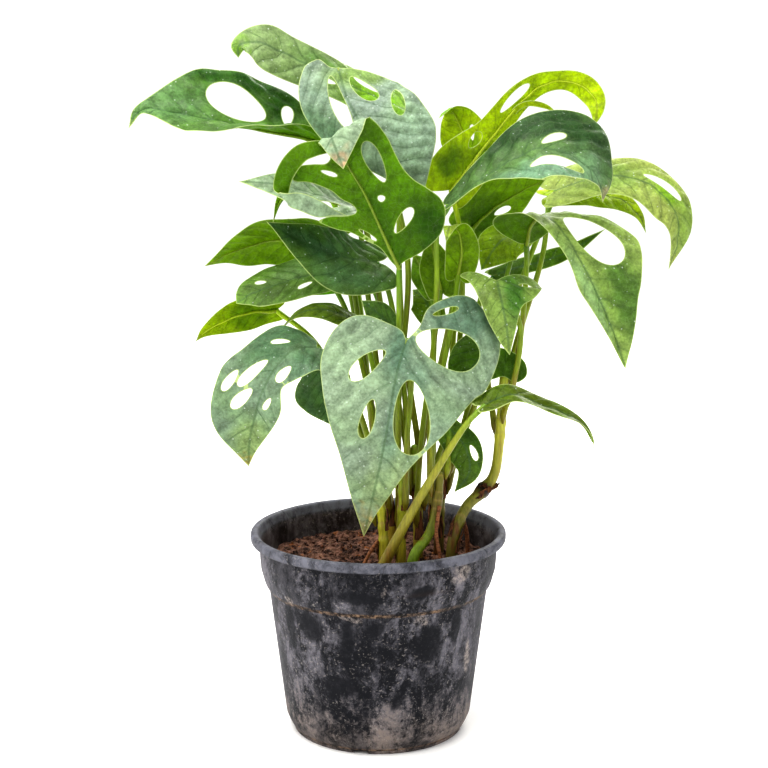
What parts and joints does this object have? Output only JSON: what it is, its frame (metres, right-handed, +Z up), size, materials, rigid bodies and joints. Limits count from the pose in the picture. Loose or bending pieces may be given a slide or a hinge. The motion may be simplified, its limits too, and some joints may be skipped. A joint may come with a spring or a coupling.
{
  "type": "potted philodendron",
  "caption": "Climbing houseplant with heart-shaped leaves that have oval holes, on long stalks from short stems, in a round black nursery pot of soil.",
  "frame": {"origin": "middle of the pot's base, on the surface that the pot stands on", "axes": "+Z up along the pot's axis; -Y is the front of the plant, the side that the picture shows; +X to the right when seen from the front"},
  "size_m": [0.4094, 0.19, 0.5209],
  "materials": {
    "pot": "satin",
    "soil": "matte",
    "stem": "satin",
    "root": "matte",
    "leaf": "satin"
  },
  "bodies": {
    "root": {"cane_far": "stem", "cane_fork": "stem", "cane_front": "stem", "cane_left": "stem", "cane_middle": "stem", "cane_rear": "stem", "cane_right": "stem", "leaf_arching": "leaf", "leaf_back_top": "leaf", "leaf_crown_centre": "leaf", "leaf_crown_left": "leaf", "leaf_far_left": "leaf", "leaf_front": "leaf", "leaf_inner_back": "leaf", "leaf_inner_left": "leaf", "leaf_left_back": "leaf", "leaf_left_dark": "leaf", "leaf_left_far": "leaf", "leaf_left_glow": "leaf", "leaf_left_inner": "leaf", "leaf_left_low": "leaf", "leaf_left_mid": "leaf", "leaf_left_tip": "leaf", "leaf_low_back": "leaf", "leaf_low_curl": "leaf", "leaf_low_left": "leaf", "leaf_mid_dark": "leaf", "leaf_mid_hang": "leaf", "leaf_right_dark": "leaf", "leaf_right_droop": "leaf", "leaf_right_edge": "leaf", "leaf_right_far": "leaf", "leaf_right_hang": "leaf", "leaf_right_mid": "leaf", "leaf_right_narrow": "leaf", "leaf_right_small": "leaf", "leaf_right_top": "leaf", "leaf_slim": "leaf", "leaf_small_tip": "leaf", "leaf_under_right": "leaf", "leaf_upright": "leaf", "pot": "pot", "root_left": "root", "root_middle": "root", "root_right": "root", "soil": "soil"}
  },
  "joints": []
}
